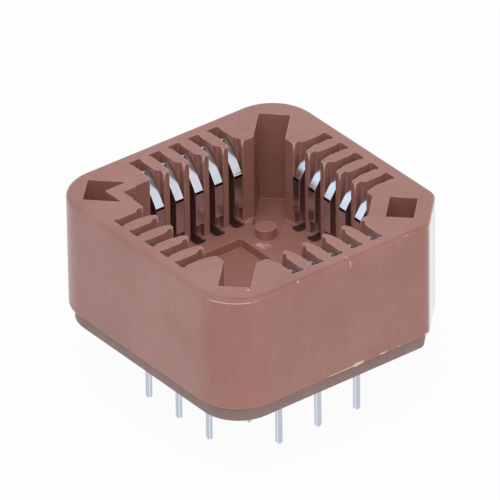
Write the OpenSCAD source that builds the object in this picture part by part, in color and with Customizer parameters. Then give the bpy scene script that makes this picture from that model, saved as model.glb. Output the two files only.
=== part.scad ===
// Through-hole socket for a 20-lead square chip carrier.
// One deep moulded housing, one base plate under it, and twenty bent strip contacts.
// Origin: centre of the base plate's underside, +Z up. Contact 01 sits in the middle of the +X side,
// and the contacts are counted counter-clockwise seen from above.

/* [Body] */
// Width of the housing over opposite sides
body_w = 15.2; // [14.8:0.1:18]
// Height of the housing above the base plate
body_h = 6.5; // [6.3:0.1:9]
// Radius of the three rounded corners
corner_r = 2.5; // [1.6:0.1:3]
// Leg of the flat that marks the first corner
flat_leg = 2.3; // [1.6:0.1:2.6]
// Radius at both ends of that flat
flat_r = 0.9; // [0.7:0.05:1.2]
// Radius of the rounded top edge
edge_r = 0.25; // [0.1:0.05:0.4]

/* [Base plate] */
// Thickness of the base plate
plate_t = 0.9; // [0.6:0.1:1.6]
// How far the base plate stands back from the housing's sides
plate_inset = 0.3; // [0.1:0.05:0.6]

/* [Chip cavity] */
// Width of the cavity between its corner walls
cavity_w = 9.6; // [9.4:0.02:9.9]
// Depth of the cavity floor below the top
cavity_depth = 4.85; // [4.2:0.05:5]
// Leg of the cavity's cut first corner
cavity_flat = 1.2; // [0.8:0.05:1.3]
// Width of the stretch of each wall that holds the ribs
bay_w = 7.9; // [7.4:0.1:8.2]
// How far the rib tips stand back from the corner walls
bay_d = 0.07; // [0.03:0.01:0.12]
// Length of the recess in the floor
recess_l = 7.26; // [5:0.02:7.6]
// Width of the recess in the floor
recess_w = 3.7; // [2.5:0.1:4.4]
// Depth of the recess in the floor
recess_d = 0.55; // [0.2:0.05:0.8]
// Diameter of the four posts that the chip rests on
post_d = 1.1; // [0.7:0.1:1.3]
// Height of the posts above the floor
post_h = 0.6; // [0.3:0.05:1]
// Spacing of the posts along each side
post_pitch = 6; // [5.8:0.1:6.4]

/* [Contact slots] */
// Spacing of the contacts along a side
pitch = 1.27; // [1.25:0.01:1.3]
// Width of a slot where the strip stands
slot_w = 0.62; // [0.54:0.01:0.7]
// Length of a slot from the rib tips to its narrow end
slot_l = 1.73; // [1.68:0.01:1.86]
// Width of a slot between the rib tips
lead_w = 0.92; // [0.86:0.01:0.96]
// Length of the wide stretch beside the chip's leads
lead_l = 0.44; // [0.36:0.02:0.6]
// How much the stepped side of the wide stretch opens out along its length
lead_taper = 0.04; // [0.01:0.01:0.05]
// Width of the slanted face behind the step
step_w = 0.09; // [0.05:0.01:0.12]
// Length of the slanted face behind the step
step_l = 0.2; // [0.1:0.01:0.24]
// Length of the slant on the side without a step
slant_l = 0.85; // [0.6:0.05:1]
// Width of the widened outer end of a slot
end_w = 0.76; // [0.7:0.02:0.9]
// Length of the widened outer end
end_l = 0.28; // [0.16:0.02:0.3]
// Corner cut in the widened outer end
end_cut = 0.08; // [0.04:0.01:0.12]
// Corner cut at the rib tips
tip_cut = 0.03; // [0.02:0.01:0.05]
// Length of the lead-in facets along a rib
facet_l = 0.16; // [0.1:0.01:0.3]
// Width of the lead-in facets across a rib
facet_w = 0.07; // [0.04:0.01:0.09]
// Depth of the lead-in facets
facet_d = 0.52; // [0.3:0.02:0.9]
// Depth of the slots below the cavity floor, down to the foot chambers
slot_drop = 0.15; // [0.1:0.01:0.4]
// How far the slots run into the floor past the rib tips
mouth_l = 0.36; // [0.2:0.02:0.4]
// Width of a slot in the floor
mouth_w = 0.7; // [0.66:0.02:0.8]
// Corner cut in its inner end
mouth_cut = 0.14; // [0.05:0.01:0.2]
// Width of a foot chamber
chamber_w = 0.92; // [0.86:0.02:1]

/* [Corner slots and pockets] */
// Width of the two extraction slots
key_w = 1.66; // [1.2:0.02:2]
// Distance of an extraction slot's outer end from the centre
key_reach = 8.42; // [7.8:0.02:8.6]
// Distance of an extraction slot's inner end from the centre
key_start = 5.2; // [5:0.1:5.8]
// Depth of the extraction slots below the cavity floor
key_drop = 0.32; // [0.1:0.02:0.6]
// Width of the pocket opposite the first corner
pocket_w = 1.94; // [1.4:0.02:2.1]
// Distance of that pocket's outer end from the centre
pocket_reach = 8.74; // [8.4:0.02:8.8]
// Wall left between that pocket and the cavity
pocket_wall = 0.65; // [0.5:0.05:0.9]
// Width of the pocket in the first corner
mark_w = 1.96; // [1.4:0.02:2.1]
// Length of the pocket in the first corner
mark_l = 1.44; // [1:0.02:1.6]
// Distance of its outer end from the centre
mark_reach = 8.27; // [8.1:0.01:8.4]
// Depth of both pockets
pocket_depth = 3; // [1:0.1:4]

/* [Contacts] */
// Thickness of the contact strip
strip_t = 0.2; // [0.14:0.01:0.22]
// Width of the strip
strip_w = 0.5; // [0.4:0.01:0.52]
// Width of the strip's shoulder in the foot chamber
shoulder_w = 0.84; // [0.7:0.02:0.84]
// Drop of the crown below the housing's top
crown_drop = 0.3; // [0.1:0.05:0.6]
// Radius of the crown along the middle of the strip
crown_r = 0.35; // [0.25:0.01:0.4]
// Slope of the contact arm from the vertical below the crown
crown_slope = 44; // [40:1:48]
// Slope of the contact arm from the vertical above the nose
arm_slope = 33; // [30:1:38]
// Radius of the arm's bow between these slopes
bow_r = 6; // [3:0.5:8]
// How far the noses stand into the cavity
nose_reach = 0.22; // [0.1:0.01:0.25]
// Radius of the nose along the middle of the strip
nose_r = 0.2; // [0.15:0.01:0.3]
// Straight length of the free end that hangs from the nose
hang_l = 1.85; // [1.2:0.05:1.9]

/* [Tails] */
// Length of the tails below the base plate
tail_len = 3.85; // [2.5:0.05:4.5]
// Width of a tail
tail_w = 0.34; // [0.3:0.01:0.5]
// Straight run of an inner foot before it turns
foot_run = 0.4; // [0.3:0.02:0.6]

/* [Fits] */
// Gap between the strip and the end of its slot
leg_gap = 0.05; // [0.03:0.01:0.12]
// Gap between a foot and the plate and chamber that hold it
seat_gap = 0.02; // [0.01:0.01:0.05]
// Gap between a tail and its hole in the base plate
tail_gap = 0.1; // [0.06:0.01:0.16]
// Gap between an inner foot and its channel
foot_gap = 0.06; // [0.04:0.01:0.1]

/* [Hidden] */
// Contacts on each side, and in all
per_side = 5;
contact_count = 4 * per_side;
function contact_name(i) = str("contact_", i < 9 ? "0" : "", i + 1);

top_z = plate_t + body_h;
floor_z = top_z - cavity_depth;
chamber_z = floor_z - slot_drop;
key_z = floor_z - key_drop;
body_half = body_w / 2;
cavity_half = cavity_w / 2;
tip_r = cavity_half + bay_d;
slot_end = tip_r + slot_l;
slot_start = tip_r - mouth_l;
round_fn = 48;
bend_steps = 8;
// Overshoot of a cutting solid past the face it opens, and past the cut it runs into
past = 1;
overlap = 0.1;

// Strip places: all measured outwards from the centre, and up from the plate's underside
leg_r = slot_end - leg_gap - strip_t / 2;
foot_z = plate_t + seat_gap + strip_t / 2;
bend_r = tail_gap + strip_t / 2;
crown_at = [leg_r - crown_r, top_z - crown_drop - strip_t / 2 - crown_r];
arm_top = crown_at + crown_r * [-cos(crown_slope), sin(crown_slope)];
crown_peak = arm_top + [leg_r - arm_top.x, (leg_r - arm_top.x) / tan(crown_slope)];
hang_r = tip_r - nose_reach + strip_t / 2;
arm_half = (arm_top.x - hang_r) / (sin(crown_slope) + sin(arm_slope));
arm_middle = arm_top - arm_half * [sin(crown_slope), cos(crown_slope)];
nose_tip = arm_middle - arm_half * [sin(arm_slope), cos(arm_slope)];
hang_end = nose_tip - [0, nose_r * tan(arm_slope / 2) + hang_l];
// The tails stand on a grid of twice the pitch
grid = 2 * pitch;
tail_out_r = 2 * grid;
tail_in_r = grid;

// Contact i: its side (0 is +X), and its place u along that side
function side_of(i) = floor((i + (per_side - 1) / 2) / per_side) % 4;
function slot_of(i) = (i + (per_side - 1) / 2) % per_side;
function place_of(slot) = (slot - (per_side - 1) / 2) * pitch;
// Every second tail stands on the inner ring of the grid, one step clockwise of its slot
function is_inner(slot) = slot % 2 == 1;
function tail_place(slot) = (slot - (per_side - 1) / 2 - 1) / 2 * grid;

// Corner b of the path a-b-c, rounded with radius r
function unit(v) = v / norm(v);
function turn_angle(u, v) = atan2(u.x * v.y - u.y * v.x, u * v);
function spin(v, a) = [v.x * cos(a) - v.y * sin(a), v.x * sin(a) + v.y * cos(a)];
function bend(a, b, c, r) =
    let (u = unit(b - a), w = turn_angle(u, unit(c - b)))
    let (start = b - u * r * tan(abs(w) / 2), arm = sign(w) * r * [u.y, -u.x])
    [for (i = [0 : bend_steps]) start - arm + spin(arm, w * i / bend_steps)];
function bent_path(p, radii) =
    let (last = len(p) - 1)
    [p[0], for (i = [1 : last - 1]) each bend(p[i - 1], p[i], p[i + 1], radii[i - 1]), p[last]];

// Outline of a strip of width w along a path
function normal(a, b) = spin(unit(b - a), 90);
function beside(p, i, d) =
    let (n = normal(p[max(i - 1, 0)], p[max(i, 1)]), last = len(p) - 1)
    let (m = normal(p[min(i, last - 1)], p[min(i + 1, last)]))
    p[i] + d * (n + m) / (1 + n * m);
function strip(p, w) =
    let (last = len(p) - 1)
    concat([for (i = [0 : last]) beside(p, i, w / 2)], [for (i = [last : -1 : 0]) beside(p, i, -w / 2)]);

// Centre line of an inner foot in plan, from radius r0 out to the leg
function foot_path(slot, r0) =
    let (u0 = place_of(slot), u1 = tail_place(slot), turn_r = tail_in_r + foot_run)
    [[r0, u1], [turn_r, u1], [turn_r + abs(u0 - u1), u0], [leg_r - bend_r, u0]];

module on_side(s) rotate([0, 0, 90 * s]) children();

module on_corner(s) rotate([0, 0, 45 + 90 * s]) children();

// In each slot, with the stepped side of the ribs towards the +X -Y corner
module at_slots()
    for (s = [0 : 3], k = [0 : per_side - 1])
        on_side(s) translate([0, place_of(k)]) mirror([0, s < 2 ? 0 : 1]) children();

// Corners of the outline in turn: centre, radius, start angle and end angle
flat_tangent = flat_r * tan(45 / 2);
flat_near = body_half - flat_r;
flat_far = body_half - flat_leg - flat_tangent;
corner_c = body_half - corner_r;
rounds = [
    [[flat_near, flat_far], flat_r, 0, 45],
    [[flat_far, flat_near], flat_r, 45, 90],
    for (s = [1 : 3]) [spin([corner_c, corner_c], 90 * s), corner_r, 90 * s, 90 * s + 90],
];
function on_round(c, r, a) = c[0] + r * [cos(a), sin(a)];

// Square with three rounded corners and a flat at +X +Y
module outline(inset) {
    polygon([for (c = rounds) each [for (a = [c[2], c[3]]) on_round(c, c[1] - inset, a)]]);
    for (c = rounds) translate(c[0]) circle(c[1] - inset, $fn = round_fn);
}

// Waste outside a quarter round, for an edge that runs along Z at the origin
module edge_waste() {
    difference() {
        translate([-edge_r, -edge_r]) square(edge_r + past);
        translate([-edge_r, -edge_r]) circle(edge_r, $fn = round_fn);
    }
}

module straight_edge_waste(run)
    rotate([90, 0, 0]) linear_extrude(run, center = true) edge_waste();

module top_edge_waste() {
    for (i = [0 : len(rounds) - 1]) {
        c = rounds[i];
        next = rounds[(i + 1) % len(rounds)];
        start = on_round(c, c[1], c[3]);
        middle = (start + on_round(next, next[1], c[3])) / 2;
        run = 2 * norm(middle - start) + overlap;
        translate([middle.x, middle.y, top_z]) rotate([0, 0, c[3]]) straight_edge_waste(run);
        translate([c[0].x, c[0].y, top_z]) rotate([0, 0, c[2]])
            rotate_extrude(angle = c[3] - c[2], $fn = round_fn) translate([c[1], 0]) edge_waste();
    }
}

// Area between a half outline, given from the inside outwards, and its mirror image
module mirrored_plan(half) {
    last = len(half) - 1;
    polygon(concat(half, [for (i = [last : -1 : 0]) [half[i].x, -half[i].y]]));
}

// One slot in plan, running outwards along X
module slot_plan()
    mirrored_plan([
        [slot_start, mouth_w / 2 - mouth_cut],
        [slot_start + mouth_cut, mouth_w / 2],
        [tip_r, mouth_w / 2],
        [tip_r, slot_w / 2],
        [slot_end, slot_w / 2],
        [slot_end + end_cut, end_w / 2],
        [slot_end + end_l - end_cut, end_w / 2],
        [slot_end + end_l, end_w / 2 - end_cut],
    ]);

// The wide stretch of a slot, which ends at the cavity floor: stepped on one side, slanted on the other
module lead_plan() {
    step_r = tip_r + lead_l;
    polygon([
        [cavity_half, lead_w / 2 + tip_cut],
        [tip_r, lead_w / 2 + tip_cut],
        [tip_r + tip_cut, lead_w / 2],
        [step_r, lead_w / 2 + lead_taper],
        [step_r, slot_w / 2 + step_w],
        [step_r + step_l, slot_w / 2],
        [tip_r + slant_l, -slot_w / 2],
        [tip_r + tip_cut, -lead_w / 2],
        [tip_r, -lead_w / 2 - tip_cut],
        [cavity_half, -lead_w / 2 - tip_cut],
    ]);
}

module cavity_plan() {
    difference() {
        union() {
            square(cavity_w, center = true);
            for (s = [0, 1]) on_side(s) square([2 * tip_r, bay_w], center = true);
        }
        on_corner(0) translate([(cavity_w - cavity_flat) / sqrt(2), -cavity_half]) square(cavity_w);
    }
}

module extraction_plan()
    for (s = [1, 3]) on_corner(s) translate([key_start, -key_w / 2]) square([key_reach - key_start, key_w]);

module pocket_plan() {
    difference() {
        on_corner(2) translate([0, -pocket_w / 2]) square([pocket_reach, pocket_w]);
        square(cavity_w + 2 * pocket_wall, center = true);
    }
    on_corner(0) translate([mark_reach - mark_l, -mark_w / 2]) square([mark_l, mark_w]);
}

// Cut from height z up through the top
module cut_from(z) translate([0, 0, z]) linear_extrude(top_z - z + past) children();

// Slanted facet at both top corners of a slot's mouth
module lead_in() {
    slope = unit([1 / facet_l, 1 / facet_w, -1 / facet_d]);
    block = 2 * facet_d;
    for (side = [0, 1]) mirror([0, side, 0])
        translate([tip_r + facet_l / 3, lead_w / 2 + facet_w / 3, top_z - facet_d / 3])
            rotate([0, acos(slope.z), atan2(slope.y, slope.x)])
                translate([-block / 2, -block / 2, -facet_w]) cube([block, block, facet_w]);
}

// Room for a contact's foot and shoulder, open to the base plate
module chamber()
    translate([slot_start, -chamber_w / 2, plate_t - past])
        cube([slot_end - slot_start, chamber_w, chamber_z - plate_t + past]);

module foot_channels() {
    start = tail_in_r - strip_t / 2 - foot_gap;
    height = seat_gap + strip_t + foot_gap + past;
    for (s = [0 : 3], k = [0 : per_side - 1]) if (is_inner(k)) on_side(s)
        translate([0, 0, plate_t - past])
            linear_extrude(height) polygon(strip(foot_path(k, start), strip_w + 2 * foot_gap));
}

module housing() {
    color([0.66, 0.48, 0.44]) {
        difference() {
            translate([0, 0, plate_t]) linear_extrude(body_h) outline(0);
            top_edge_waste();
            cut_from(floor_z) cavity_plan();
            cut_from(floor_z - recess_d) square([recess_l, recess_w], center = true);
            cut_from(chamber_z) at_slots() slot_plan();
            cut_from(floor_z) at_slots() lead_plan();
            cut_from(key_z) extraction_plan();
            cut_from(top_z - pocket_depth) pocket_plan();
            at_slots() lead_in();
            at_slots() chamber();
            foot_channels();
        }
        for (s = [0 : 3]) on_side(s) translate([post_pitch / 2, post_pitch / 2, floor_z])
            cylinder(h = post_h, d = post_d, $fn = round_fn);
    }
}

// Place of the tail in slot k, outwards and along the side
function tail_at(k) = is_inner(k) ? [tail_in_r, tail_place(k)] : [tail_out_r, place_of(k)];

module base_plate() {
    hole = [strip_t + 2 * tail_gap, tail_w + 2 * tail_gap, plate_t + 2 * past];
    color([0.54, 0.45, 0.42]) difference() {
        linear_extrude(plate_t) outline(plate_inset);
        for (s = [0 : 3], k = [0 : per_side - 1]) on_side(s)
            translate([tail_at(k).x, tail_at(k).y, plate_t / 2]) cube(hole, center = true);
    }
}

// Strip of width w bent along a path in the plane of its slot
module bent_strip(path, radii, w)
    rotate([90, 0, 0]) linear_extrude(w, center = true) polygon(strip(bent_path(path, radii), strip_t));

// Round-ended tail at radius r, up to its bend and a short run outwards
module tail(r) {
    rotate([90, 0, 90]) translate([0, 0, r]) linear_extrude(strip_t, center = true) {
        translate([-tail_w / 2, tail_w / 2 - tail_len]) square([tail_w, tail_len - tail_w / 2]);
        translate([0, tail_w / 2 - tail_len]) circle(d = tail_w, $fn = round_fn);
    }
    bent_strip([[r, 0], [r, foot_z], [r + foot_run, foot_z]], [bend_r], tail_w);
}

// Foot, leg, crown, arm, nose and hanging free end, starting at radius r
module spring(r) {
    path = [[r, foot_z], [leg_r, foot_z], crown_peak, arm_middle, nose_tip, hang_end];
    bent_strip(path, [bend_r, crown_r, bow_r, nose_r], strip_w);
    shoulder_z = foot_z + bend_r;
    translate([leg_r - strip_t / 2, -shoulder_w / 2, shoulder_z])
        cube([strip_t, shoulder_w, chamber_z - seat_gap - shoulder_z]);
}

module inner_foot(k)
    translate([0, 0, foot_z - strip_t / 2])
        linear_extrude(strip_t) polygon(strip(foot_path(k, tail_in_r + bend_r), strip_w));

module contact(i) {
    k = slot_of(i);
    color([0.80, 0.82, 0.85]) on_side(side_of(i)) {
        translate([0, tail_at(k).y]) tail(tail_at(k).x);
        if (is_inner(k)) inner_foot(k);
        translate([0, place_of(k)]) spring(is_inner(k) ? leg_r - 2 * bend_r : tail_out_r + bend_r);
    }
}

housing();
base_plate();
for (i = [0 : contact_count - 1])
    contact(i);
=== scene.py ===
import math
import random

import bmesh
import bpy
from mathutils import Matrix, Vector


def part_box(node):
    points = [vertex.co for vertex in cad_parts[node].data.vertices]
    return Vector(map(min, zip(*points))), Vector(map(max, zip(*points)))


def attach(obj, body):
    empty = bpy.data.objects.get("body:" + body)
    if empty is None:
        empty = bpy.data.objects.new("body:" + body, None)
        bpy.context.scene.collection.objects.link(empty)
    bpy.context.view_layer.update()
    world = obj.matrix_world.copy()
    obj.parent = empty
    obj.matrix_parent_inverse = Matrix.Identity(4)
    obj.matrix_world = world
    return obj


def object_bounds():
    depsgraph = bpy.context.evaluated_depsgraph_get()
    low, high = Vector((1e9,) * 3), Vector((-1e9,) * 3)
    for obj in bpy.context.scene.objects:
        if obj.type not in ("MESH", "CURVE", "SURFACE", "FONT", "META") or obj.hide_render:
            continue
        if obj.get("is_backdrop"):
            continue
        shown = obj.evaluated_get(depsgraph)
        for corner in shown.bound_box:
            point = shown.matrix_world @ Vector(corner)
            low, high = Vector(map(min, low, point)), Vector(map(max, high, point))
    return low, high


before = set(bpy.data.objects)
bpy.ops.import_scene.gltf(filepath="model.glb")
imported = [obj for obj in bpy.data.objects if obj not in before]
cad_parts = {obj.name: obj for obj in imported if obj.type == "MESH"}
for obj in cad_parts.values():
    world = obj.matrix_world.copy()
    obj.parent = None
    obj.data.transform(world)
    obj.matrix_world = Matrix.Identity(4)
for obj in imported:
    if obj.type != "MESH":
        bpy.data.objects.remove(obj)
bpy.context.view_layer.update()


mm = 0.001
bodyLow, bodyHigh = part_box("housing")
sideX, sideY, rim = bodyHigh
joint = bodyLow[2]  # where the housing stands on the base plate
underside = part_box("base_plate")[0][2]
print("socket frame loaded:", len(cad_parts), "nodes")


def fromRim(inward, along, down):
    # a place this far in from the +X side and this far below the rim, in millimetres
    return (sideX - inward * mm, along * mm, rim - down * mm)


def fromJoint(inward, along, up):
    # a place this far in from the +X side and this far above the joint, in millimetres
    return (sideX - inward * mm, along * mm, joint + up * mm)


class Wire:
    # one node socket, so that masks can be written as plain sums
    def __init__(self, tree, socket):
        self.tree = tree
        self.socket = socket

    def node(self, kind, settings=None, sockets=None, out=0):
        made = self.tree.nodes.new(kind)
        for name, value in (settings or {}).items():
            setattr(made, name, value)
        for name, value in (sockets or {}).items():
            if isinstance(value, Wire):
                self.tree.links.new(value.socket, made.inputs[name])
            else:
                made.inputs[name].default_value = value
        return Wire(self.tree, made.outputs[out])

    def beside(self, out):
        # another output of the same node
        return Wire(self.tree, self.socket.node.outputs[out])

    def maths(self, operation, first, second):
        return self.node("ShaderNodeMath", {"operation": operation}, {0: first, 1: second})

    def vectorMaths(self, operation, second=None, out=0):
        sockets = {0: self} if second is None else {0: self, 1: second}
        return self.node("ShaderNodeVectorMath", {"operation": operation}, sockets, out)

    def __add__(self, other):
        return self.maths("ADD", self, other)

    def __radd__(self, other):
        return self.maths("ADD", other, self)

    def __sub__(self, other):
        return self.maths("SUBTRACT", self, other)

    def __rsub__(self, other):
        return self.maths("SUBTRACT", other, self)

    def __mul__(self, other):
        return self.maths("MULTIPLY", self, other)

    def __rmul__(self, other):
        return self.maths("MULTIPLY", other, self)

    def clamped(self, low, high, newLow=0.0, newHigh=1.0):
        # a smooth step from newLow to newHigh, and no further
        return self.node(
            "ShaderNodeMapRange",
            {"interpolation_type": "SMOOTHSTEP"},
            {0: self, 1: low, 2: high, 3: newLow, 4: newHigh},
        )

    def noise(self, size, detail=2.0, roughness=0.5, stretch=(1, 1, 1)):
        # size is the width of one blotch in metres
        place = self.node("ShaderNodeMapping", None, {"Vector": self, "Scale": stretch})
        return place.node(
            "ShaderNodeTexNoise",
            None,
            {"Vector": place, "Scale": 1 / size, "Detail": detail, "Roughness": roughness},
        )

    def mixed(self, first, second):
        # this wire is the factor between two colours
        return self.node(
            "ShaderNodeMix",
            {"data_type": "RGBA", "clamp_factor": True},
            {0: self, 6: first, 7: second},
            out=2,
        )


def linear(red, green, blue):
    # a colour as screens write it, from 0 to 255, made linear for the shader
    parts = []
    for part in (red / 255, green / 255, blue / 255):
        parts.append(part / 12.92 if part <= 0.04045 else ((part + 0.055) / 1.055) ** 2.4)
    return (*parts, 1.0)


def startMaterial(name):
    material = bpy.data.materials.new(name)
    material.use_nodes = True
    tree = material.node_tree
    shader = tree.nodes["Principled BSDF"]
    place = Wire(tree, tree.nodes.new("ShaderNodeTexCoord").outputs["Object"])
    return material, shader, place


def feed(shader, place, **links):
    for name, wire in links.items():
        place.tree.links.new(wire.socket, shader.inputs[name.replace("_", " ")])


bevelSamples = 6
flatTurn = 0.995  # above this a face counts as flat


def roundedEdge(place, radius):
    # the normal as if every corner had this radius
    return place.node("ShaderNodeBevel", {"samples": bevelSamples}, {"Radius": radius})


def faceNormal(place):
    return place.node("ShaderNodeNewGeometry", out="True Normal")


def edgeMask(place, radius, sharp):
    # 1 on the corners of the mesh, 0 on its flats
    turn = roundedEdge(place, radius).vectorMaths("DOT_PRODUCT", faceNormal(place), "Value")
    return turn.clamped(flatTurn, sharp)


def bumped(place, height, strength, depth, radius=None):
    sockets = {"Strength": strength, "Distance": depth, "Height": height}
    if radius:
        sockets["Normal"] = roundedEdge(place, radius)
    return place.node("ShaderNodeBump", None, sockets)


def split(wire):
    across = wire.node("ShaderNodeSeparateXYZ", None, {0: wire})
    return across, across.beside(1), across.beside(2)


def absolute(wire):
    return wire.maths("ABSOLUTE", wire, 0.0)


def spot(place, centre, size, turn=0.0):
    # a soft mark round this place, its size in millimetres, turned about the upright axis
    local = place.node(
        "ShaderNodeMapping",
        {"vector_type": "TEXTURE"},
        {
            "Vector": place,
            "Location": centre,
            "Rotation": (0, 0, math.radians(turn)),
            "Scale": tuple(part * mm for part in size),
        },
    )
    return local.vectorMaths("LENGTH", out="Value").clamped(1.0, 0.55)


def marks(place, listed, grain):
    # several such marks, the strongest on top, broken up a little
    total = None
    for centre, size, turn, level in listed:
        one = spot(place, fromRim(*centre), size, turn) * level
        total = one if total is None else total.maths("MAXIMUM", total, one)
    return total * place.noise(grain, 2).clamped(0.36, 0.5)


housingLook = {
    "colour": linear(163, 109, 98),
    "paleColour": linear(173, 121, 111),
    "cloudSize": 3.2 * mm,
    "streakSize": 0.45 * mm,
    "speckleSize": 0.22 * mm,
    "grainSize": 0.09 * mm,
    "grainDepth": 0.01 * mm,
    "grainStrength": 0.3,
    "roughness": 0.34,
    "coat": (0.2, 0.28),  # least and most
    "coatRoughness": 0.12,
    "edgeColour": linear(224, 176, 164),
    "edgeRadius": 0.08 * mm,
    "edgeSharp": 0.93,
    "edgeRubAndSheen": (0.35, 0.85),
    "edgeRubAndSheenPatches": 0.7 * mm,
    "soft": 0.1 * mm,  # over which one finish passes into the next
    # painted light inside the cavity: its colour, where it stops and how far down it grows
    "cavityLightColour": linear(182, 132, 121),
    "cavityLightWidth": sideX - 0.3 * mm,
    "cavityLightReach": sideX + 1.35 * mm,
    "cavityLightHeights": (rim - 0.05 * mm, rim - 1.9 * mm),
    "cavityLightLeast": 0.3,
    "facetColour": linear(240, 208, 204),
    "facetFoot": rim - 0.54 * mm,
    "facetTurn": (0.22, 0.34),
    "facetLean": ((0.05, 0.1), (0.3, 0.2)),  # where the upward part of the normal comes and goes
    "facetStrength": 0.9,
    "flatReach": sideX + sideY - 2.3 * mm,
    "flatSoft": 0.03 * mm,
    "flatRoughness": 0.14,
    "flatCoat": 0.65,
    "glow": ((9.9, 2.3, 4.85), (0.55, 0.4, 0.2), 30),  # place from the rim, size, turn
    "glowColour": linear(232, 196, 200),
    "glowPatches": 0.35 * mm,
    "glowStrength": 0.9,
    "chafeAndGlintColour": linear(236, 200, 186),
    "chafeAndGlintGrain": 0.12 * mm,
    "chafesAndGlints": [
        # place from the rim, size, turn and strength: scratches and rubbed spots, and painted
        # highlights on slot edges and at the foot of a wall
        ((0.24, 0.16, 0), (0.3, 0.035, 0.08), 10, 0.9),
        ((0, 0.2, 0.28), (0.08, 0.045, 0.26), 0, 0.9),
        ((0.02, 0.34, 0.3), (0.08, 0.03, 0.12), 0, 0.7),
        ((0.1, 4, 0.06), (0.16, 0.5, 0.03), 4, 0.3),
        ((0.05, -3.1, 0.02), (0.1, 0.12, 0.1), 0, 0.8),
        ((0.97, -5.6, 0), (0.12, 0.12, 0.06), 0, 0.9),
        # painted highlights: bright dots on the slot edges
        ((6.13, -6.27, 0), (0.1, 0.1, 0.12), 0, 1.0),
        ((4.82, -6.31, 0), (0.1, 0.1, 0.12), 0, 1.0),
        ((9.89, -6.36, 0), (0.09, 0.09, 0.12), 0, 0.9),
        ((9.94, -6.64, 0), (0.12, 0.07, 0.12), 0, 0.8),
        ((9.8, 5.62, 0), (0.09, 0.09, 0.12), 0, 0.9),
        # painted highlight: a light line at the foot of a cavity wall
        ((12.26, 3.1, 4.83), (0.09, 0.36, 0.06), 0, 0.6),
    ],
}


def housingPlastic(look):
    material, shader, place = startMaterial("mouldedHousing")
    shader.inputs["Coat Roughness"].default_value = look["coatRoughness"]
    cloud = place.noise(look["cloudSize"], 3)
    grain = place.noise(look["grainSize"], 3)
    speckle = place.noise(look["speckleSize"], 4, 0.7)
    streak = place.noise(look["streakSize"], 2, stretch=(1, 1, 0.1))
    soft = look["soft"]
    body = (cloud * 0.55 + streak * 0.15 + speckle * 0.3).clamped(0.36, 0.64)
    body = body.mixed(look["colour"], look["paleColour"])
    # painted light: a paler colour further down inside the cavity and its slots, standing in for
    # light that reaches in
    eastward, northward, height = split(place)
    wide = eastward.maths("MAXIMUM", absolute(eastward), absolute(northward))
    reach = place.vectorMaths("MULTIPLY", (1, 1, 0)).vectorMaths("LENGTH", out="Value")
    inside = wide.clamped(look["cavityLightWidth"], look["cavityLightWidth"] - soft)
    inside = inside * reach.clamped(look["cavityLightReach"] + soft, look["cavityLightReach"])
    cavityLight = inside * height.clamped(*look["cavityLightHeights"]) * (cloud * 0.4 + look["cavityLightLeast"])
    body = cavityLight.mixed(body, look["cavityLightColour"])
    # painted highlight along the convex edges, broken into patches, with some real rubbing
    patches = place.noise(look["edgeRubAndSheenPatches"], 2).clamped(0.2, 0.6, *look["edgeRubAndSheen"])
    rubbedAndLitEdges = edgeMask(place, look["edgeRadius"], look["edgeSharp"]) * patches
    body = rubbedAndLitEdges.mixed(body, look["edgeColour"])
    # near the top, only the small lead-in facets at the rib tips are as steep as this
    # and turned between the sides
    across, along, up = split(faceNormal(place))
    comes, goes = look["facetLean"]
    slanted = absolute(across * along).clamped(*look["facetTurn"])
    leaning = up.clamped(*comes) * up.clamped(*goes)
    facet = slanted * leaning * height.clamped(look["facetFoot"], look["facetFoot"] + soft)
    body = (facet * look["facetStrength"]).mixed(body, look["facetColour"])
    # scratches and rubbed spots together with painted highlights
    chafedAndGlinting = marks(place, look["chafesAndGlints"], look["chafeAndGlintGrain"])
    body = chafedAndGlinting.mixed(body, look["chafeAndGlintColour"])
    # painted highlight: a soft pale pink glint on the cavity floor
    glowPlace, glowSize, glowTurn = look["glow"]
    floorGlint = spot(place, fromRim(*glowPlace), glowSize, glowTurn)
    floorGlint = floorGlint * place.noise(look["glowPatches"], 3).clamped(0.3, 0.75)
    colour = (floorGlint * look["glowStrength"]).mixed(body, look["glowColour"])
    # the flat at the first corner is shown glossier than the rest
    outward = eastward + northward
    glossy = outward.clamped(look["flatReach"] - soft, look["flatReach"] - look["flatSoft"])
    plain = look["roughness"] - 0.06 + grain * 0.08 + cloud * 0.06
    rough = plain + glossy * (look["flatRoughness"] - look["roughness"])
    coat = streak.clamped(0.3, 0.7, *look["coat"]) + glossy * look["flatCoat"]
    pits = grain * 0.7 + speckle * 0.3
    normal = bumped(place, pits, look["grainStrength"], look["grainDepth"], look["edgeRadius"])
    feed(shader, place, Base_Color=colour, Roughness=rough, Normal=normal, Coat_Weight=coat)
    return material


plateLook = {
    "colour": linear(148, 121, 115),
    "paleColour": linear(163, 136, 131),
    "edgeColour": linear(184, 157, 150),
    "cloudSize": 1.6 * mm,
    "grainSize": 0.14 * mm,
    "grainDepth": 0.02 * mm,
    "grainStrength": 0.5,
    "roughness": 0.6,
    "edgeRadius": 0.06 * mm,
    "edgeSharp": 0.86,
    "edgeRubAndSheen": 0.5,
}


def platePlastic(look):
    material, shader, place = startMaterial("pressedPlate")
    cloud = place.noise(look["cloudSize"], 3)
    grain = place.noise(look["grainSize"], 4)
    body = (cloud * 0.6 + grain * 0.4).clamped(0.3, 0.7)
    body = body.mixed(look["colour"], look["paleColour"])
    # paler convex edges: painted highlight, with some real rubbing
    rubbedAndLitEdges = edgeMask(place, look["edgeRadius"], look["edgeSharp"]) * look["edgeRubAndSheen"]
    colour = rubbedAndLitEdges.mixed(body, look["edgeColour"])
    rough = look["roughness"] - 0.06 + grain * 0.14
    normal = bumped(place, grain, look["grainStrength"], look["grainDepth"], look["edgeRadius"])
    feed(shader, place, Base_Color=colour, Roughness=rough, Normal=normal)
    return material


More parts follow.
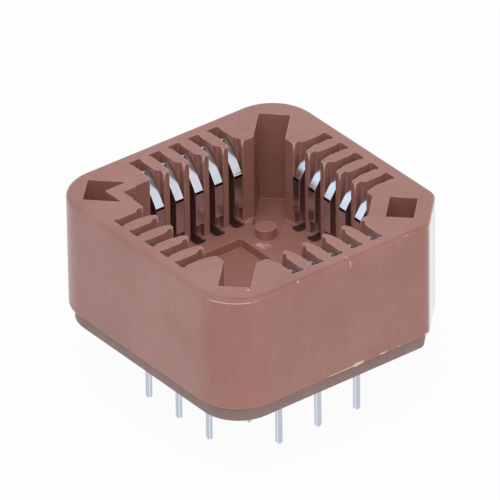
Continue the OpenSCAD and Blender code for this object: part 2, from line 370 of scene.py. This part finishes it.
contactLook = {
    "colour": linear(210, 214, 223),
    "dullColour": linear(198, 204, 215),
    "cloudSize": 0.5 * mm,
    "drawnSize": 0.1 * mm,
    "grainSize": 0.04 * mm,
    "grainDepth": 0.012 * mm,
    "grainStrength": 0.3,
    "roughness": 0.16,
    "edgeColour": linear(250, 251, 253),
    "edgeRadius": 0.02 * mm,
    "edgeWidth": 0.07 * mm,
    "edgeSharp": 0.93,
    "soft": 0.1 * mm,  # over which one finish passes into the next
    "tailColour": linear(188, 194, 210),
    "tailTop": underside + 0.2 * mm,
    "noseReflectionColour": linear(60, 50, 50),
    "bendTop": rim - 1.4 * mm,
    "noseReflectionLean": ((0.01, 0.05), (0.53, 0.46)),  # where the upward part of the normal comes and goes
    "ripples": ((12.35, 2.54, 1.74), (0.3, 0.4, 0.16)),  # place from the rim, size
    "rippleLength": 0.12 * mm,
    "rippleBend": 1.5,
}


def contactTin(look):
    material, shader, place = startMaterial("tinnedContact")
    shader.inputs["Metallic"].default_value = 1.0
    cloud = place.noise(look["cloudSize"], 2)
    grain = place.noise(look["grainSize"], 3)
    drawn = place.noise(look["drawnSize"], 2, stretch=(1, 1, 0.08))
    soft = look["soft"]
    height = split(place)[2]
    body = (cloud * 0.6 + drawn * 0.4).clamped(0.35, 0.7)
    body = body.mixed(look["colour"], look["dullColour"])
    tail = height.clamped(look["tailTop"] + soft, look["tailTop"])
    body = tail.mixed(body, look["tailColour"])
    # painted highlight: white lines along the edges of the strip
    edge = edgeMask(place, look["edgeWidth"], look["edgeSharp"])
    body = edge.mixed(body, look["edgeColour"])
    # painted reflection: a dark band where the strip is folded down at its nose
    up = split(faceNormal(place))[2]
    comes, goes = look["noseReflectionLean"]
    noseReflection = up.clamped(*comes) * up.clamped(*goes)
    noseReflection = noseReflection * height.clamped(look["bendTop"], look["bendTop"] - soft) * (1 - tail)
    colour = noseReflection.mixed(body, look["noseReflectionColour"])
    rough = look["roughness"] - 0.05 + grain * 0.1 + drawn * 0.04
    ripplePlace, rippleSize = look["ripples"]
    wave = place.node(
        "ShaderNodeTexWave",
        {"bands_direction": "Z"},
        {
            "Vector": place,
            "Scale": 0.32 / look["rippleLength"],
            "Distortion": look["rippleBend"],
        },
    )
    pits = grain * 0.3 + wave * spot(place, fromRim(*ripplePlace), rippleSize)
    normal = bumped(place, pits, look["grainStrength"], look["grainDepth"], look["edgeRadius"])
    feed(shader, place, Base_Color=colour, Roughness=rough, Normal=normal)
    return material


plastics = {"housing": housingPlastic(housingLook), "base_plate": platePlastic(plateLook)}
contactMaterial = contactTin(contactLook)
for node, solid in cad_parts.items():
    solid.material_slots[0].material = plastics.get(node, contactMaterial)
print("materials on every node")

flashLook = {
    "colour": linear(226, 200, 172),
    "paleColour": linear(244, 226, 206),
    "patchSize": 0.25 * mm,
    "grainSize": 0.05 * mm,
    "grainDepth": 0.01 * mm,
    "grainStrength": 0.5,
    "roughness": 0.6,
    "subdivisions": 3,
    "smoothing": 0.5,
    "seed": 7,
    "flakes": [
        # name, place from the joint, half sizes, turn about the upright axis, raggedness
        ("flash_flake", (0, 0.68, 0.05), (0.05, 0.4, 0.1), 2, 0.3),
        ("flash_line", (0.01, -0.4, 0.03), (0.03, 0.95, 0.035), 0, 0.2),
        ("flash_bit_1", (0.01, 2.3, 0.04), (0.035, 0.3, 0.05), 0, 0.3),
        ("flash_bit_2", (0.02, 3.3, 0.03), (0.03, 0.16, 0.04), 0, 0.3),
        ("flash_corner", (0.06, 5, 0.05), (0.06, 0.26, 0.08), -4, 0.35),
    ],
}


def flashSkin(look):
    material, shader, place = startMaterial("mouldFlash")
    patch = place.noise(look["patchSize"], 3)
    grain = place.noise(look["grainSize"], 3)
    colour = patch.clamped(0.35, 0.65).mixed(look["colour"], look["paleColour"])
    rough = look["roughness"] - 0.05 + grain * 0.1
    normal = bumped(place, grain, look["grainStrength"], look["grainDepth"])
    feed(shader, place, Base_Color=colour, Roughness=rough, Normal=normal)
    return material


def showMesh(name, sheet, material):
    # turns a finished bmesh into an object in the scene
    mesh = bpy.data.meshes.new(name)
    sheet.to_mesh(mesh)
    sheet.free()
    mesh.materials.append(material)
    made = bpy.data.objects.new(name, mesh)
    bpy.context.scene.collection.objects.link(made)
    return made


def makeFlake(look, material, chance, name, centre, half, turn, ragged):
    # a thin torn crumb of plastic that clings to the moulding
    crumb = bmesh.new()
    bmesh.ops.create_icosphere(crumb, subdivisions=look["subdivisions"], radius=1.0)
    for vert in crumb.verts:
        vert.co *= 1 + ragged * (chance.random() - 0.5)
    bmesh.ops.smooth_vert(
        crumb,
        verts=crumb.verts,
        factor=look["smoothing"],
        use_axis_x=True,
        use_axis_y=True,
        use_axis_z=True,
    )
    bmesh.ops.scale(crumb, vec=tuple(part * mm for part in half), verts=crumb.verts)
    turned = Matrix.Rotation(math.radians(turn), 3, "Z")
    bmesh.ops.rotate(crumb, matrix=turned, verts=crumb.verts)
    bmesh.ops.translate(crumb, vec=fromJoint(*centre), verts=crumb.verts)
    bmesh.ops.recalc_face_normals(crumb, faces=crumb.faces)
    for face in crumb.faces:
        face.smooth = True
    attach(showMesh(name, crumb, material), "root")


flashMaterial = flashSkin(flashLook)
flashChance = random.Random(flashLook["seed"])
for flake in flashLook["flakes"]:
    makeFlake(flashLook, flashMaterial, flashChance, *flake)
print("mould flash along the joint")

floorSettings = {
    "half": 400 * mm,
    "below": 0.02 * mm,  # under the tips of the tails
    "colour": linear(250, 250, 250),
    "roughness": 0.9,
    "whiteness": 0.95,  # how much of it is plain white to the camera
}
white = (1, 1, 1, 1)


def viewedRays(tree):
    # rays that come straight from the camera, and rays that a glossy or clear piece sends on
    paths = tree.nodes.new("ShaderNodeLightPath")
    straight = Wire(tree, paths.outputs["Is Camera Ray"])
    glossy = straight.beside("Is Glossy Ray")
    clear = straight.beside("Is Transmission Ray")
    return straight, glossy.maths("MAXIMUM", glossy, clear)


def makeFloor(settings):
    # a plain pale table, where the tails stand on it
    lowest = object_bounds()[0][2]
    sheet = bmesh.new()
    bmesh.ops.create_grid(sheet, x_segments=1, y_segments=1, size=settings["half"])
    bmesh.ops.translate(sheet, vec=(0, 0, lowest - settings["below"]), verts=sheet.verts)
    material = bpy.data.materials.new("tableTop")
    material.use_nodes = True
    tree = material.node_tree
    shader = tree.nodes["Principled BSDF"]
    shader.inputs["Base Color"].default_value = settings["colour"]
    shader.inputs["Roughness"].default_value = settings["roughness"]
    seen, mirrored = viewedRays(tree)
    glow = seen.node("ShaderNodeEmission", None, {"Color": white, "Strength": 1.0})
    share = seen * settings["whiteness"] + mirrored
    lit = Wire(tree, shader.outputs[0])
    both = seen.node("ShaderNodeMixShader", None, {0: share, 1: lit, 2: glow})
    tree.links.new(both.socket, tree.nodes["Material Output"].inputs["Surface"])
    showMesh("floor", sheet, material)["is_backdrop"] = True


makeFloor(floorSettings)
print("floor laid")

lampSettings = {
    "aim": (0, 0, 3 * mm),
    "lamps": [
        # name, azimuth and elevation it shines from, distance, width and height in
        # millimetres, strength, colour, and whether glossy surfaces mirror it
        ("overhead", 20, 78, 260, 260, 260, 0.9, (1.0, 0.96, 0.92), True),
        ("left", -58, 30, 300, 180, 240, 0.2, (0.4, 0.95, 1.6), True),
        ("right", 122, 28, 300, 160, 240, 0.75, (1.0, 0.98, 0.98), False),
        ("front", 48, 50, 300, 220, 200, 1.75, (1.0, 1.0, 1.0), False),
    ],
}


def direction(azimuth, elevation):
    # from the object towards a lamp or the camera, azimuth 0 being the -Y side
    around, up = math.radians(azimuth), math.radians(elevation)
    flat = math.cos(up)
    return Vector((math.sin(around) * flat, -math.cos(around) * flat, math.sin(up)))


def makeLamp(aim, name, azimuth, elevation, away, wide, tall, level, colour, mirrored):
    lamp = bpy.data.lights.new(name, "AREA")
    lamp.shape = "RECTANGLE"
    lamp.size = wide * mm
    lamp.size_y = tall * mm
    lamp.energy = level * math.pi * lamp.size * lamp.size_y
    lamp.color = colour
    toward = direction(azimuth, elevation)
    holder = bpy.data.objects.new(name, lamp)
    holder.location = Vector(aim) + toward * away * mm
    holder.rotation_euler = toward.to_track_quat("Z", "Y").to_euler()
    holder.visible_glossy = mirrored
    bpy.context.scene.collection.objects.link(holder)


for lampRow in lampSettings["lamps"]:
    makeLamp(lampSettings["aim"], *lampRow)

worldSettings = {
    "light": 0.38,  # what falls on the object
    "seen": 1.0,  # what the camera and the metal see
    "ceiling": 0.04,  # the unlit ceiling in the metal
    "ceilingFrom": (0.75, 0.8),  # sine of the elevation where the wall gives way to it
}


def makeWorld(settings):
    # pale walls all round, under a dark ceiling that only the glossy surfaces mirror
    world = bpy.data.worlds.new("studio")
    bpy.context.scene.world = world
    world.use_nodes = True
    tree = world.node_tree
    soft = tree.nodes["Background"]
    soft.inputs["Color"].default_value = white
    soft.inputs["Strength"].default_value = settings["light"]
    seen, mirrored = viewedRays(tree)
    bright, dark = [
        seen.node("ShaderNodeBackground", None, {"Color": white, "Strength": settings[part]})
        for part in ("seen", "ceiling")
    ]
    toward = seen.node("ShaderNodeTexCoord", out="Generated")
    high = split(toward)[2].clamped(*settings["ceilingFrom"])
    room = seen.node("ShaderNodeMixShader", None, {0: high, 1: bright, 2: dark})
    plain = Wire(tree, soft.outputs[0])
    lit = seen.node("ShaderNodeMixShader", None, {0: mirrored, 1: plain, 2: room})
    both = seen.node("ShaderNodeMixShader", None, {0: seen, 1: lit, 2: bright})
    tree.links.new(both.socket, tree.nodes["World Output"].inputs["Surface"])


makeWorld(worldSettings)
print("lamps and world lit")

cameraSettings = {
    "azimuth": 52.465,
    "elevation": 32.093,
    "roll": -0.75,
    "away": 456.6,  # millimetres, as are the two shifts and the height it looks at
    "shiftAcross": -0.291,
    "shiftUp": 1.010,
    "lookHeight": 3.138,
    "lens": 640.8,
    "sensor": 36,
    "nearest": 0.01,  # metres
    "farthest": 10,
}


def makeCamera(settings):
    around, tilt = math.radians(settings["azimuth"]), math.radians(settings["roll"])
    back = direction(settings["azimuth"], settings["elevation"])
    flat = Vector((math.cos(around), math.sin(around), 0))
    rise = back.cross(flat)
    across = flat * math.cos(tilt) + rise * math.sin(tilt)
    above = rise * math.cos(tilt) - flat * math.sin(tilt)
    standpoint = Vector((0, 0, settings["lookHeight"])) + across * settings["shiftAcross"]
    standpoint = (standpoint + above * settings["shiftUp"] + back * settings["away"]) * mm
    lens = bpy.data.cameras.new("camera")
    lens.lens = settings["lens"]
    lens.sensor_width = settings["sensor"]
    lens.clip_start = settings["nearest"]
    lens.clip_end = settings["farthest"]
    camera = bpy.data.objects.new("camera", lens)
    turned = Matrix((across, above, back)).transposed().to_4x4()
    camera.matrix_world = Matrix.Translation(standpoint) @ turned
    bpy.context.scene.collection.objects.link(camera)
    bpy.context.scene.camera = camera


makeCamera(cameraSettings)
bpy.context.scene.view_settings.view_transform = "Standard"
print("camera placed")
